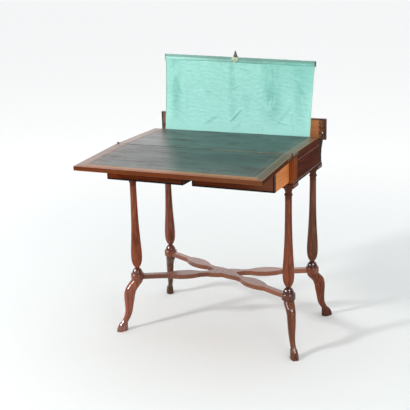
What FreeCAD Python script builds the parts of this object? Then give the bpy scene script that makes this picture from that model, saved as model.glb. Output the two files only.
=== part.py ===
import FreeCAD, Part
import math
import os

# Writing table with a fold-over leather leaf, two drawers that carry it, and a rising cloth screen.
# Millimetres, +Z up. X runs along the width, -Y faces the sitter.

# Overall sizes
top_height = 720.0
body_width = 646.0
body_depth = 324.0
body_height = 94.0
top_side_overhang = 5.0
leaf_thick = 14.5
front_overhang = 24.0
slot_from_back = 51.0

# General clearances
seat_gap = 0.2
slide_gap = 0.4
turn_gap = 0.3
pin_gap = 0.05

# Carcase boards
post_width = 16.5
post_depth = 36.0
panel_thick = 14.0
bottom_thick = 6.5
front_rail_thick = 6.8
front_rail_depth = 20.0
muntin_width = 31.8
muntin_depth = 22.0
partition_thick = 8.0
guide_height = 17.0
well_wall_thick = 8.0
well_depth = 66.0
moulding_proud = 2.6
moulding_height = 8.0
moulding_fillet_proud = 2.0
moulding_fillet_height = 4.5
bead_proud = 2.0
bead_height = 4.0
bead_drop = 15.0

# Legs: turned column, turned drum, cabriole foot
leg_inset_x = 25.0
leg_inset_y = 19.0
abacus_size = 53.0
abacus_thick = 12.0
capital_radius = 24.0
capital_height = 23.5
astragal_radius = 14.4
astragal_height = 10.0
neck_radius = 11.8
belly_radius = 20.5
belly_rise = 45.0
pinch_radius = 6.8
pinch_height = 236.5
bulb_radius = 17.2
bulb_height = 20.5
drum_radius = 25.0
drum_height = 25.0
drum_waist = 5.0
drum_lip = 4.5
column_dowel_radius = 5.0
column_dowel_length = 20.0
head_dowel_radius = 6.0
head_dowel_length = 5.0
foot_dowel_radius = 7.0
foot_dowel_length = 12.0
hoof_height = 30.0
cleft_width = 2.4
cleft_depth = 14.0
hoof_reach = 97.0
foot_turn_deg = 56.0

# Crossed stretcher
rail_thick = 17.0
rail_drop = 5.5
rail_half_width = 10.0
lens_half_width = 26.0
lens_half_length = 76.0
lens_place = 154.0
centre_half_width = 23.0
centre_half_length = 86.0
rail_tenon_radius = 5.0
rail_tenon_length = 13.0

# Drawers
drawer_pull = 145.5
drawer_back_room = 6.0
drawer_front_thick = 12.5
drawer_side_thick = 7.0
drawer_back_thick = 7.0
drawer_bottom_thick = 5.0
drawer_bottom_lift = 4.5
drawer_groove = 3.5
drawer_side_drop = 2.0
edge_bead_width = 5.0
edge_bead_thick = 4.0
edge_bead_proud = 1.5

# Leather and leaf hinges
leather_border = 30.0
leather_recess = 1.5
leather_thick = 1.3
hinge_lift = 0.3
hinge_plate_thick = 2.6
hinge_eye_radius = 4.5
hinge_arm_length = 55.0
hinge_arm_height = 8.0
hinge_arm_sink = 0.5
hinge_pin_radius = 1.8
hinge_pin_head = 0.8

# Rear flap and its iron brackets
screen_slot = 16.0
flap_depth = 68.0
flap_over = 5.0
flap_tail = 10.0
bracket_arm_thick = 5.0
bracket_arm_width = 9.0
bracket_flange_width = 18.0
bracket_flange_thick = 3.0
bracket_flange_drop = 16.0
bracket_flange_height = 36.0
bracket_eye_radius = 5.5
flap_pin_radius = 3.0
flap_pin_depth = 7.0
flap_screw_radius = 3.2
flap_screw_sink = 0.2
flap_screw_length = 6.0
flap_screw_inset = 22.0

# Screen: roller, cloth, rod and sliding pole
roller_radius = 12.0
roller_end_gap = 5.0
roller_rise = 41.0
gudgeon_radius = 3.0
bracket_plate_thick = 6.0
bracket_plate_size = 26.0
cloth_thick = 1.2
cloth_side_room = 8.0
cloth_fold_depth = 1.1
cloth_fold_count = 9
cloth_slot_place = 5.0
rod_end_over = 4.0
rod_height = 18.0
rod_thick = 8.0
rod_rise = 268.0
rod_shift = 10.0
rod_tilt_deg = 1.7
pole_x = 9.0
pole_radius = 3.5
tongue_thick = 0.9
stop_collar_radius = 6.5
stop_collar_height = 9.0
guide_wall = 2.0
guide_length = 12.0
strap_width = 16.0
strap_thick = 2.5
finial_radius = 7.5
finial_height = 22.0
finial_base = 2.5

# Places worked out from the sizes above
half_w = body_width / 2
half_d = body_depth / 2
top_half = half_w + top_side_overhang
leaf_under = top_height - leaf_thick
body_low = leaf_under - body_height
floor_top = body_low + bottom_thick
post_inner = half_w - post_width
panel_inner = half_w - panel_thick
axis_y = -half_d - front_overhang
axis_z = top_height + hinge_lift
rear_leaf_back = half_d - slot_from_back
leaf_depth = rear_leaf_back - axis_y
flap_front = rear_leaf_back + screen_slot
flap_round = leaf_thick / 2 - turn_gap / 2
flap_axis_y = flap_front + flap_depth - flap_round
flap_axis_z = top_height - flap_round
leg_x = half_w - leg_inset_x
leg_y = half_d - leg_inset_y
well_back = half_d - panel_thick
well_front = well_back - well_depth
wall_front = well_front - well_wall_thick
drum_low = pinch_height - bulb_height - drum_height
drum_top = drum_low + drum_height
rail_low = drum_top - rail_drop - rail_thick
cloth_y = rear_leaf_back + cloth_slot_place
rod_y = cloth_y + (rod_thick - cloth_thick) / 2 - 2
pole_y = rod_y + rod_thick / 2 + seat_gap + tongue_thick + pole_radius
bush_radius = pole_radius + pin_gap + guide_wall
roller_half = panel_inner - bracket_plate_thick - roller_end_gap
cloth_half_width = roller_half - cloth_side_room
rod_half_length = cloth_half_width + rod_end_over
rod_z = top_height + rod_rise
roller_z = body_low + roller_rise
roller_y = cloth_y - cloth_thick / 2 - cloth_fold_depth - turn_gap - roller_radius
drawer_low = floor_top + slide_gap
drawer_top = leaf_under - front_rail_thick - slide_gap * 2
drawer_face = -half_d - drawer_pull
drawer_length = wall_front + half_d - drawer_back_room

# The open leaf droops until it lies on the top edges of the two drawer fronts
leaf_lever = axis_y - drawer_face
leaf_fall = axis_z - drawer_top
leaf_arm = leaf_thick + hinge_lift + seat_gap
leaf_reach = math.hypot(leaf_lever, leaf_fall)
leaf_droop_deg = math.degrees(math.acos(leaf_arm / leaf_reach) - math.atan2(leaf_lever, leaf_fall))
seam_half_gap = (leaf_thick + hinge_lift) * math.sin(math.radians(leaf_droop_deg)) / 2 + seat_gap

corners = (("front_left", -1, -1), ("front_right", 1, -1), ("back_left", -1, 1), ("back_right", 1, 1))
nodes = {}


def vec(x, y, z):
    return FreeCAD.Vector(x, y, z)


def block(x0, x1, y0, y1, z0, z1):
    return Part.makeBox(x1 - x0, y1 - y0, z1 - z0, vec(x0, y0, z0))


def rod_between(radius, start, end):
    way = end - start
    return Part.makeCylinder(radius, way.Length, start, way)


def mirrored_x(shape):
    return shape.mirror(vec(0, 0, 0), vec(1, 0, 0))


def both_sides(shape):
    return Part.makeCompound([shape, mirrored_x(shape)])


def turned(edges):
    # A closed half outline in the XZ plane, turned about the Z axis
    wire = Part.Wire(Part.__sortEdges__(edges))
    return Part.Face(wire).revolve(vec(0, 0, 0), vec(0, 0, 1), 360)


def line(a, b):
    return Part.makeLine(vec(a[0], 0, a[1]), vec(b[0], 0, b[1]))


def arc(a, b, c):
    return Part.Arc(vec(a[0], 0, a[1]), vec(b[0], 0, b[1]), vec(c[0], 0, c[1])).toShape()


def spline(points):
    curve = Part.BSplineCurve()
    curve.interpolate([vec(r, 0, z) for r, z in points])
    return curve.toShape()


def make_column():
    # Plain entasis from the pinch to the neck, astragal, hollow capital and square abacus
    abacus_low = body_low - abacus_thick
    capital_low = abacus_low - capital_height
    ring_low = capital_low - astragal_height
    ring_mid = ring_low + astragal_height / 2
    shaft = ring_low - pinch_height
    belly = (belly_radius, pinch_height + belly_rise)
    shoulder = (pinch_radius + 0.63 * (belly_radius - pinch_radius), pinch_height + 0.3 * belly_rise)
    swell = belly_radius - neck_radius
    shares = ((0.72, 0.31), (0.3, 0.51), (0.06, 0.76))
    taper = [(neck_radius + swell * f, pinch_height + shaft * h) for f, h in shares]
    neck = (neck_radius, ring_low)
    ring_top = (neck_radius, capital_low)
    cap_edge = (capital_radius, abacus_low - 2)
    cap_mid = (neck_radius + 0.28 * (capital_radius - neck_radius), capital_low + 0.62 * capital_height)
    foot_of_dowel = pinch_height - column_dowel_length
    edges = [
        line((0, foot_of_dowel), (column_dowel_radius, foot_of_dowel)),
        line((column_dowel_radius, foot_of_dowel), (column_dowel_radius, pinch_height)),
        line((column_dowel_radius, pinch_height), (pinch_radius, pinch_height)),
        spline([(pinch_radius, pinch_height), shoulder, belly] + taper + [neck]),
        arc(neck, (astragal_radius, ring_mid), ring_top),
        arc(ring_top, cap_mid, cap_edge),
        line(cap_edge, (capital_radius, abacus_low)),
        line((capital_radius, abacus_low), (0, abacus_low)),
        line((0, abacus_low), (0, foot_of_dowel)),
    ]
    half = abacus_size / 2
    abacus = block(-half, half, -half, half, abacus_low, body_low)
    dowel = rod_between(head_dowel_radius, vec(0, 0, abacus_low), vec(0, 0, body_low + head_dowel_length))
    return turned(edges).fuse([abacus, dowel]).removeSplitter()


def make_drum(rail_angle):
    # Drum below, polished bulb above, bored for the column, the foot and the stretcher
    lip = drum_lip
    soft = 0.3 * lip
    lip_radius = drum_radius - lip
    soft_radius = drum_radius - soft
    waist = drum_radius - drum_waist
    bulb_mid = drum_top + 0.5 * bulb_height
    edges = [
        line((0, drum_low), (lip_radius, drum_low)),
        arc((lip_radius, drum_low), (soft_radius, drum_low + soft), (drum_radius, drum_low + lip)),
        line((drum_radius, drum_low + lip), (drum_radius, drum_top - lip)),
        arc((drum_radius, drum_top - lip), (soft_radius, drum_top - soft), (lip_radius, drum_top)),
        line((lip_radius, drum_top), (waist, drum_top)),
        arc((waist, drum_top), (bulb_radius, bulb_mid), (pinch_radius + 1.5, pinch_height)),
        line((pinch_radius + 1.5, pinch_height), (0, pinch_height)),
        line((0, pinch_height), (0, drum_low)),
    ]
    body = turned(edges)
    column_end = pinch_height - column_dowel_length
    foot_end = drum_low + foot_dowel_length
    bores = [
        rod_between(column_dowel_radius + pin_gap, vec(0, 0, column_end - 1), vec(0, 0, pinch_height + 1)),
        rod_between(foot_dowel_radius + pin_gap, vec(0, 0, drum_low - 1), vec(0, 0, foot_end + 1)),
    ]
    reach = vec(math.cos(rail_angle), math.sin(rail_angle), 0)
    level = vec(0, 0, rail_low + rail_thick / 2)
    deep = drum_radius - rail_tenon_length - 1
    mouth = level + reach * (drum_radius + 5)
    bores.append(rod_between(rail_tenon_radius + pin_gap, level + reach * deep, mouth))
    return body.cut(bores)


def ring_section(inner, outer, width, height):
    # Rounded closed outline at one height, from the inner to the outer face
    centre = (inner + outer) / 2
    power = 2 / 2.5
    points = []
    for k in range(12):
        turn = 2 * math.pi * k / 12
        c = math.cos(turn)
        s = math.sin(turn)
        x = centre + (outer - inner) / 2 * math.copysign(abs(c) ** power, c)
        y = width / 2 * math.copysign(abs(s) ** power, s)
        points.append(vec(x, y, height))
    curve = Part.BSplineCurve()
    curve.interpolate(points, PeriodicFlag=True)
    return Part.Wire(curve.toShape())


def make_foot():
    # Knee, slim ankle and cloven hoof, drawn along +X and turned to the table's corner later.
    # Each row is a height as a share of the foot, then inner reach, outer reach and width.
    rows = [
        (1.0, 2.0 - 0.8 * drum_radius, 0.9 * drum_radius, 1.5 * drum_radius),
        (0.915, -12.0, 40.0, 35.0),
        (0.853, 0.0, 50.0, 32.5),
        (0.776, 11.0, 56.5, 29.5),
        (0.632, 19.0, 59.0, 27.0),
        (0.489, 25.5, 57.5, 24.5),
        (0.345, 31.5, 59.5, 20.5),
        (0.259, 39.0, 65.5, 18.5),
    ]
    limb_rows = [ring_section(i, o, w, drum_low * h) for h, i, o, w in rows]
    limb_rows.append(ring_section(53.0, 80.0, 20.0, hoof_height - 0.5))
    limb = Part.makeLoft(limb_rows, True, False)
    hoof_rows = [
        ring_section(52.5, 83.0, 24.0, hoof_height),
        ring_section(53.0, 92.5, 27.0, hoof_height * 0.5),
        ring_section(53.5, hoof_reach, 29.0, 0.0),
    ]
    hoof = Part.makeLoft(hoof_rows, True, False)
    cleft_end = hoof_reach - cleft_depth
    cleft = block(cleft_end, hoof_reach + 3, -cleft_width / 2, cleft_width / 2, -1.0, hoof_height * 0.8)
    cleft = cleft.cut(rod_between(cleft_depth * 0.4, vec(cleft_end, -5, -1), vec(cleft_end, 5, -1)))
    dowel = rod_between(foot_dowel_radius, vec(0, 0, drum_low - 4), vec(0, 0, drum_low + foot_dowel_length))
    return limb.fuse([hoof, dowel]).cut(cleft).removeSplitter()


def lens(half_length, half_width, place):
    # Leaf-shaped swelling between two arcs
    left = vec(place - half_length, 0, rail_low)
    right = vec(place + half_length, 0, rail_low)
    upper = Part.Arc(left, vec(place, half_width, rail_low), right).toShape()
    lower = Part.Arc(right, vec(place, -half_width, rail_low), left).toShape()
    return Part.Face(Part.Wire([upper, lower])).extrude(vec(0, 0, rail_thick))


def make_rail(angle_deg):
    # One diagonal of the stretcher, from drum to drum, before the half lap is cut
    span = math.hypot(leg_x, leg_y)
    strip = block(-span, span, -rail_half_width, rail_half_width, rail_low, rail_low + rail_thick)
    swells = [
        lens(lens_half_length, lens_half_width, lens_place),
        lens(lens_half_length, lens_half_width, -lens_place),
        lens(centre_half_length, centre_half_width, 0),
    ]
    rail = strip.fuse(swells)
    tenons = []
    for side in (-1, 1):
        end = vec(side * span, 0, 0)
        drum = Part.makeCylinder(drum_radius, 60, end + vec(0, 0, rail_low - 20))
        rail = rail.cut(drum)
        outer = vec(side * (span - drum_radius + rail_tenon_length), 0, rail_low + rail_thick / 2)
        inner = vec(side * (span - drum_radius - 8), 0, rail_low + rail_thick / 2)
        tenons.append(rod_between(rail_tenon_radius, inner, outer))
    rail = rail.fuse(tenons).removeSplitter()
    rail.rotate(vec(0, 0, 0), vec(0, 0, 1), angle_deg)
    return rail


def build_legs():
    column = make_column()
    foot = make_foot()
    for label, sx, sy in corners:
        place = vec(sx * leg_x, sy * leg_y, 0)
        inward = math.atan2(-sy * leg_y, -sx * leg_x)
        nodes["leg_column_" + label] = column.translated(place)
        nodes["leg_drum_" + label] = make_drum(inward).translated(place)
        turned_foot = foot.copy()
        turned_foot.rotate(vec(0, 0, 0), vec(0, 0, 1), foot_turn_deg * sx * sy + (0 if sx > 0 else 180))
        nodes["cabriole_foot_" + label] = turned_foot.translated(place)


def build_stretcher():
    angle = math.degrees(math.atan2(leg_y, leg_x))
    first = make_rail(angle)
    second = make_rail(-angle)
    reach = centre_half_length + centre_half_width
    lap_level = rail_low + rail_thick / 2
    upper = block(-reach, reach, -reach, reach, lap_level, rail_low + rail_thick + 1)
    lower = block(-reach, reach, -reach, reach, rail_low - 1, lap_level)
    nodes["stretcher_rail_lower"] = first.cut(second.common(upper))
    nodes["stretcher_rail_upper"] = second.cut(first.common(lower))


def build_carcase():
    post_solids = []
    for label, sx, sy in corners:
        post = block(post_inner, half_w, half_d - post_depth, half_d, body_low, leaf_under)
        if sx < 0:
            post = mirrored_x(post)
        if sy < 0:
            post = post.mirror(vec(0, 0, 0), vec(0, 1, 0))
        nodes["corner_post_" + label] = post
        post_solids.append(post)
    side_reach = half_d - post_depth
    side = block(panel_inner, half_w, -side_reach, side_reach, body_low, leaf_under)
    nodes["side_panel_right"] = side
    nodes["side_panel_left"] = mirrored_x(side)
    board = block(-panel_inner, panel_inner, -half_d, well_back, body_low, floor_top).cut(post_solids)
    sockets = []
    for label, sx, sy in corners:
        socket = vec(sx * leg_x, sy * leg_y, body_low - 1)
        socket_top = socket + vec(0, 0, head_dowel_length + 1.2)
        sockets.append(rod_between(head_dowel_radius + pin_gap, socket, socket_top))
    hole_ends = vec(pole_x, pole_y, body_low - 1), vec(pole_x, pole_y, floor_top + 1)
    pole_hole = rod_between(bush_radius, *hole_ends)
    nodes["bottom_board"] = board.cut(sockets + [pole_hole])
    back = block(-post_inner, post_inner, well_back, half_d, body_low, leaf_under)
    nodes["back_panel"] = back.cut(sockets)
    rail_under = leaf_under - front_rail_thick
    rail_back = front_rail_depth - half_d
    nodes["front_upper_rail"] = block(-post_inner, post_inner, -half_d, rail_back, rail_under, leaf_under)
    half_muntin = muntin_width / 2
    muntin_back = muntin_depth - half_d
    nodes["centre_muntin"] = block(-half_muntin, half_muntin, -half_d, muntin_back, floor_top, rail_under)
    half_part = partition_thick / 2
    nodes["centre_partition"] = block(-half_part, half_part, muntin_back, wall_front, floor_top, rail_under)
    well_wall = block(-panel_inner, panel_inner, wall_front, well_front, floor_top, leaf_under)
    nodes["screen_well_wall"] = well_wall
    guide_top = floor_top + guide_height
    inner_guide = block(half_part, half_muntin, muntin_back, wall_front, floor_top, guide_top)
    outer_guide = block(post_inner, panel_inner, -side_reach, wall_front, floor_top, guide_top)
    guides = [inner_guide, outer_guide, mirrored_x(inner_guide), mirrored_x(outer_guide)]
    nodes["drawer_guides"] = Part.makeCompound(guides)


def half_round_strip(length, height, proud):
    # Bead along +Y: flat at the back, bulging towards +X
    low = vec(0, 0, 0)
    high = vec(0, 0, height)
    bulge = Part.Arc(low, vec(proud, 0, height / 2), high).toShape()
    face = Part.Face(Part.Wire([bulge, Part.makeLine(high, low)]))
    return face.extrude(vec(0, length, 0))


def build_mouldings():
    side = half_round_strip(body_depth, moulding_height, moulding_proud)
    fillet = half_round_strip(body_depth, moulding_fillet_height, moulding_fillet_proud)
    side = side.fuse(fillet.translated(vec(0, 0, moulding_height)))
    side = side.translated(vec(half_w, -half_d, body_low))
    front = half_round_strip(body_width, bottom_thick, moulding_proud)
    front.rotate(vec(0, 0, 0), vec(0, 0, 1), -90)
    front = front.translated(vec(-half_w, -half_d, body_low))
    nodes["base_mouldings"] = Part.makeCompound([side, mirrored_x(side), front])
    bead_low = leaf_under - bead_drop - bead_height
    bead_run = body_depth - 2 * post_depth
    bead = half_round_strip(bead_run, bead_height, bead_proud)
    nodes["side_beads"] = both_sides(bead.translated(vec(half_w, -bead_run / 2, bead_low)))


def leaf_hinge_cut():
    # Round clearance about the hinge eyes at both ends of the seam
    start = top_half - 2 * hinge_plate_thick - turn_gap * 2
    ends = vec(start, axis_y, axis_z), vec(top_half + 1, axis_y, axis_z)
    return both_sides(rod_between(hinge_eye_radius + turn_gap, *ends))


def hinge_plate(way, layer):
    # Arm let into the end of one leaf, with its eye on the hinge axis
    outer = top_half - layer * (hinge_plate_thick + pin_gap)
    inner = outer - hinge_plate_thick
    arm_top = top_height - hinge_arm_sink
    arm_low = arm_top - hinge_arm_height
    near = axis_y + way * (hinge_eye_radius * 0.5 + seam_half_gap)
    far = axis_y + way * hinge_arm_length
    arm = block(inner, outer, min(near, far), max(near, far), arm_low, arm_top)
    eye = rod_between(hinge_eye_radius, vec(inner, axis_y, axis_z), vec(outer, axis_y, axis_z))
    beyond = axis_y - 40 * way
    relief = block(inner - 1, outer + 1, beyond - 40, beyond + 40, arm_low - 20, axis_z)
    hole_ends = vec(inner - 1, axis_y, axis_z), vec(outer + 1, axis_y, axis_z)
    hole = rod_between(hinge_pin_radius + pin_gap, *hole_ends)
    return both_sides(arm.fuse(eye.cut(relief)).cut(hole).removeSplitter()), both_sides(arm)


def droop(shape):
    lowered = shape.copy()
    lowered.rotate(vec(0, axis_y, axis_z), vec(1, 0, 0), leaf_droop_deg)
    return lowered


def build_top():
    recess = top_height - leather_recess
    panel_half = top_half - leather_border
    fixed_plate, fixed_arm = hinge_plate(1, 0)
    moving_plate, moving_arm = hinge_plate(-1, 1)
    eyes = leaf_hinge_cut()
    rear_front = axis_y + seam_half_gap
    rear = block(-top_half, top_half, rear_front, rear_leaf_back, leaf_under, top_height)
    rear_field = block(-panel_half, panel_half, rear_front - 1, rear_leaf_back + 1, recess, top_height + 1)
    nodes["rear_leaf"] = rear.cut([rear_field, eyes, fixed_arm])
    leather_top = recess + leather_thick
    nodes["rear_leather"] = block(-panel_half, panel_half, rear_front, rear_leaf_back, recess, leather_top)
    front_back = axis_y - seam_half_gap
    front_edge = axis_y - leaf_depth
    front_under = axis_z - hinge_lift - leaf_thick
    front = block(-top_half, top_half, front_edge, front_back, front_under, top_height)
    field_front = front_edge + leather_border
    front_field = block(-panel_half, panel_half, field_front, front_back + 1, recess, top_height + 1)
    slot_top = top_height - hinge_arm_sink
    slot_inner = top_half - hinge_plate_thick - pin_gap
    inner_slot = block(slot_inner, top_half + 1, front_back - hinge_arm_length, front_back + 1,
                       slot_top - hinge_arm_height, slot_top)
    front = front.cut([front_field, eyes, moving_arm, both_sides(inner_slot)])
    nodes["front_leaf"] = droop(front)
    leather = block(-panel_half, panel_half, field_front, front_back, recess, leather_top)
    nodes["front_leather"] = droop(leather)
    nodes["leaf_hinge_fixed_plates"] = fixed_plate
    nodes["leaf_hinge_moving_plates"] = droop(moving_plate)
    pin_start = vec(top_half - 2 * hinge_plate_thick - pin_gap, axis_y, axis_z)
    pin = rod_between(hinge_pin_radius, pin_start, vec(top_half + hinge_pin_head, axis_y, axis_z))
    nodes["leaf_hinge_pins"] = both_sides(pin)


def build_drawer(side_name, mirror):
    # Drawn for the right-hand drawer, pulled out under the leaf
    inner = muntin_width / 2 + slide_gap
    outer = post_inner - slide_gap
    front_face = drawer_face + edge_bead_proud
    front_back = front_face + drawer_front_thick
    tail = drawer_face + drawer_length
    side_top = drawer_top - drawer_side_drop
    bead_back = drawer_face + edge_bead_thick
    frame = block(inner, outer, drawer_face, bead_back, drawer_low, drawer_top)
    opening = block(inner + edge_bead_width, outer - edge_bead_width, drawer_face - 1, bead_back + 1,
                    drawer_low + edge_bead_width, drawer_top - edge_bead_width)
    bead = frame.cut(opening)
    bottom_low = drawer_low + drawer_bottom_lift
    bottom_top = bottom_low + drawer_bottom_thick
    field_in = inner + drawer_side_thick - drawer_groove
    field_out = outer - drawer_side_thick + drawer_groove
    bottom = block(field_in, field_out, front_back - drawer_groove, tail, bottom_low, bottom_top)
    in_wall = inner + drawer_side_thick
    out_wall = outer - drawer_side_thick
    pieces = {
        "front": block(inner, outer, front_face, front_back, drawer_low, drawer_top).cut([bead, bottom]),
        "edge_bead": bead,
        "inner_side": block(inner, in_wall, front_back, tail, drawer_low, side_top).cut(bottom),
        "outer_side": block(out_wall, outer, front_back, tail, drawer_low, side_top).cut(bottom),
        "back": block(in_wall, out_wall, tail - drawer_back_thick, tail, bottom_top, side_top),
        "bottom": bottom,
    }
    for piece, shape in pieces.items():
        nodes[side_name + "_drawer_" + piece] = mirrored_x(shape) if mirror else shape


def flap_standing(shape):
    # Turns a piece drawn with the flap shut to the flap standing upright
    raised = shape.copy()
    raised.rotate(vec(0, flap_axis_y, flap_axis_z), vec(1, 0, 0), -90)
    return raised


def flap_slot(x0, x1):
    # Open mortise in the tail, wide enough for a bracket's arm from standing to shut
    top = flap_axis_y - bracket_eye_radius - bracket_arm_width
    return block(x0, x1, top, flap_axis_y + flap_tail + 2 * flap_round, leaf_under - 1, top_height + 1)


def build_flap():
    # The free edge is lipped in two lengths, and the gap between them lets the pole through
    flap_half = top_half + flap_over
    low = flap_axis_z - flap_round
    lip_back = pole_y + pole_radius + guide_wall + turn_gap
    tail_end = flap_axis_y + flap_tail
    board = block(-flap_half, flap_half, lip_back, tail_end, low, top_height)
    nose_ends = vec(-flap_half, tail_end, flap_axis_z), vec(flap_half, tail_end, flap_axis_z)
    nose = rod_between(flap_round, *nose_ends)
    notch_half = pole_radius + guide_wall + slide_gap + strap_width / 2
    lippings = [
        block(-flap_half, pole_x - notch_half, flap_front, lip_back, low, top_height),
        block(pole_x + notch_half, flap_half, flap_front, lip_back, low, top_height),
    ]
    arm_out = half_w - seat_gap
    arm_in = arm_out - bracket_arm_thick
    slots = both_sides(flap_slot(arm_in - turn_gap, arm_out + turn_gap))
    pin_start = vec(arm_in - flap_pin_depth, flap_axis_y, flap_axis_z)
    pin_tip = vec(arm_out + flap_pin_depth, flap_axis_y, flap_axis_z)
    bores = both_sides(rod_between(flap_pin_radius + pin_gap, pin_start, pin_tip))
    screw_solids = []
    screw_holes = []
    for share in (0.3, 0.52, 0.84):
        place = vec(flap_half - flap_screw_inset, flap_front + flap_depth * share - 6, low)
        tip = place + vec(0, 0, flap_screw_length)
        screw_solids.append(rod_between(flap_screw_radius, place + vec(0, 0, flap_screw_sink), tip))
        screw_holes.append(both_sides(rod_between(flap_screw_radius, place - vec(0, 0, 1), tip)))
    board = board.fuse(nose).cut([slots, bores] + screw_holes).removeSplitter()
    nodes["rear_flap"] = flap_standing(Part.makeCompound([board] + lippings))
    screws = screw_solids + [mirrored_x(screw) for screw in screw_solids]
    nodes["flap_screws"] = flap_standing(Part.makeCompound(screws))
    nodes["flap_pivot_pins"] = both_sides(rod_between(flap_pin_radius, pin_start, pin_tip))
    flange_back = half_d + bracket_flange_thick
    flange_top = leaf_under - bracket_flange_drop
    flange_low = flange_top - bracket_flange_height
    flange = block(arm_out - bracket_flange_width, arm_out, half_d, flange_back, flange_low, flange_top)
    foot = vec(arm_in, flange_back - 1, (flange_low + flange_top) / 2)
    eye_start = vec(arm_in, flap_axis_y, flap_axis_z)
    way = (eye_start - foot).normalize()
    aside = vec(0, -way.z, way.y) * (bracket_arm_width / 2)
    outline = [foot + aside, eye_start + aside, eye_start - aside, foot - aside, foot + aside]
    arm = Part.Face(Part.makePolygon(outline)).extrude(vec(bracket_arm_thick, 0, 0))
    behind = block(arm_in - 1, arm_out + 1, half_d - 30, half_d, flange_low - 30, flange_top + 30)
    eye = rod_between(bracket_eye_radius, eye_start, vec(arm_out, flap_axis_y, flap_axis_z))
    bracket = flange.fuse([arm.cut(behind), eye]).cut(bores).removeSplitter()
    nodes["flap_brackets"] = both_sides(bracket)


def fold_edges(half_width, centre_x, y, z):
    # A shallow wave of arcs from left to right, its folds swinging to and fro about y
    pitch = 2 * half_width / cloth_fold_count
    edges = []
    for k in range(cloth_fold_count):
        start = centre_x - half_width + k * pitch
        swing = cloth_fold_depth if k % 2 else -cloth_fold_depth
        ends = vec(start, y, z(start)), vec(start + pitch, y, z(start + pitch))
        middle = vec(start + pitch / 2, y + swing, z(start + pitch / 2))
        edges.append(Part.Arc(ends[0], middle, ends[1]).toShape())
    return edges


def cloth_outline(centre_x, z):
    front_y = cloth_y - cloth_thick / 2
    back_y = cloth_y + cloth_thick / 2
    left = centre_x - cloth_half_width
    right = centre_x + cloth_half_width
    edges = fold_edges(cloth_half_width, centre_x, front_y, z)
    edges += fold_edges(cloth_half_width, centre_x, back_y, z)
    edges.append(Part.makeLine(vec(left, front_y, z(left)), vec(left, back_y, z(left))))
    edges.append(Part.makeLine(vec(right, front_y, z(right)), vec(right, back_y, z(right))))
    return Part.Wire(Part.__sortEdges__(edges))


def build_screen():
    rod_x = pole_x + rod_shift
    slope = -math.tan(math.radians(rod_tilt_deg))
    rod_front = rod_y - rod_thick / 2
    rod_back = rod_y + rod_thick / 2
    lath = block(-rod_half_length, rod_half_length, rod_front, rod_back, -rod_height / 2, rod_height / 2)
    long_edges = [e for e in lath.Edges if abs(e.tangentAt(e.FirstParameter).x) > 0.9]
    lath = lath.makeFillet(rod_thick * 0.4, long_edges)
    lath.rotate(vec(0, 0, 0), vec(0, 1, 0), rod_tilt_deg)
    nodes["screen_rod"] = lath.translated(vec(rod_x, 0, rod_z))

    def cloth_top(x):
        return rod_z + slope * (x - rod_x) - rod_height / 2 - turn_gap

    lower = cloth_outline(0, lambda x: roller_z)
    upper = cloth_outline(rod_x, cloth_top)
    nodes["screen_cloth"] = Part.makeLoft([lower, upper], True, True)
    strap_low = rod_z + rod_height / 2 + turn_gap - slope * (rod_x - pole_x)
    strap_top = strap_low + strap_thick
    pole_low = body_low - stop_collar_height - turn_gap
    pole = rod_between(pole_radius, vec(pole_x, pole_y, pole_low), vec(pole_x, pole_y, strap_low))
    collar_top = pole_low + stop_collar_height
    collar = rod_between(stop_collar_radius, vec(pole_x, pole_y, pole_low), vec(pole_x, pole_y, collar_top))
    nodes["screen_pole"] = pole.fuse(collar).removeSplitter()
    strap_back = pole_y + pole_radius + 1
    strap_left = pole_x - strap_width / 2
    strap_right = pole_x + strap_width / 2
    strap = block(strap_left, strap_right, rod_front, strap_back, strap_low, strap_top)
    tongue_front = rod_back + seat_gap
    tongue_low = rod_z - rod_height / 2
    tongue = block(strap_left, strap_right, tongue_front, tongue_front + tongue_thick, tongue_low, strap_low)
    nodes["rod_bracket"] = strap.fuse(tongue).removeSplitter()
    waist = (finial_radius * 0.64, finial_height * 0.5)
    tip = (0.8, finial_height)
    edges = [
        line((0, 0), (finial_radius, 0)),
        line((finial_radius, 0), (finial_radius, finial_base)),
        arc((finial_radius, finial_base), waist, tip),
        line(tip, (0, finial_height)),
        line((0, finial_height), (0, 0)),
    ]
    nodes["screen_finial"] = turned(edges).translated(vec(pole_x, rod_y + 1, strap_top))
    bore_ends = vec(pole_x, pole_y, body_low - 5), vec(pole_x, pole_y, top_height)
    bore = rod_between(pole_radius + pin_gap, *bore_ends)
    bush_top = body_low + guide_length
    lower_bush = rod_between(bush_radius, vec(pole_x, pole_y, body_low), vec(pole_x, pole_y, bush_top))
    high = leaf_under - 6
    eye = rod_between(bush_radius, vec(pole_x, pole_y, high - guide_length), vec(pole_x, pole_y, high))
    web = block(pole_x - bush_radius, pole_x + bush_radius, pole_y, well_back, high - guide_length, high)
    upper_guide = eye.fuse(web).cut(bore).removeSplitter()
    nodes["pole_guides"] = Part.makeCompound([lower_bush.cut(bore), upper_guide])


def build_roller():
    plate_face = panel_inner - bracket_plate_thick
    centre = vec(0, roller_y, roller_z)
    along = vec(1, 0, 0)
    core = rod_between(roller_radius, centre - along * roller_half, centre + along * roller_half)
    gudgeon_ends = centre + along * (roller_half - 4), centre + along * (panel_inner - 1)
    gudgeons = both_sides(rod_between(gudgeon_radius, *gudgeon_ends))
    nodes["screen_roller"] = core.fuse(gudgeons.Solids).removeSplitter()
    size = bracket_plate_size / 2
    plate = block(plate_face, panel_inner, roller_y - size, roller_y + size,
                  roller_z - size, roller_z + size)
    bearing = rod_between(gudgeon_radius + pin_gap, centre, centre + along * panel_inner)
    nodes["roller_brackets"] = both_sides(plate.cut(bearing))


build_legs()
build_stretcher()
build_carcase()
build_mouldings()
build_top()
build_drawer("right", False)
build_drawer("left", True)
build_flap()
build_roller()
build_screen()

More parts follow.
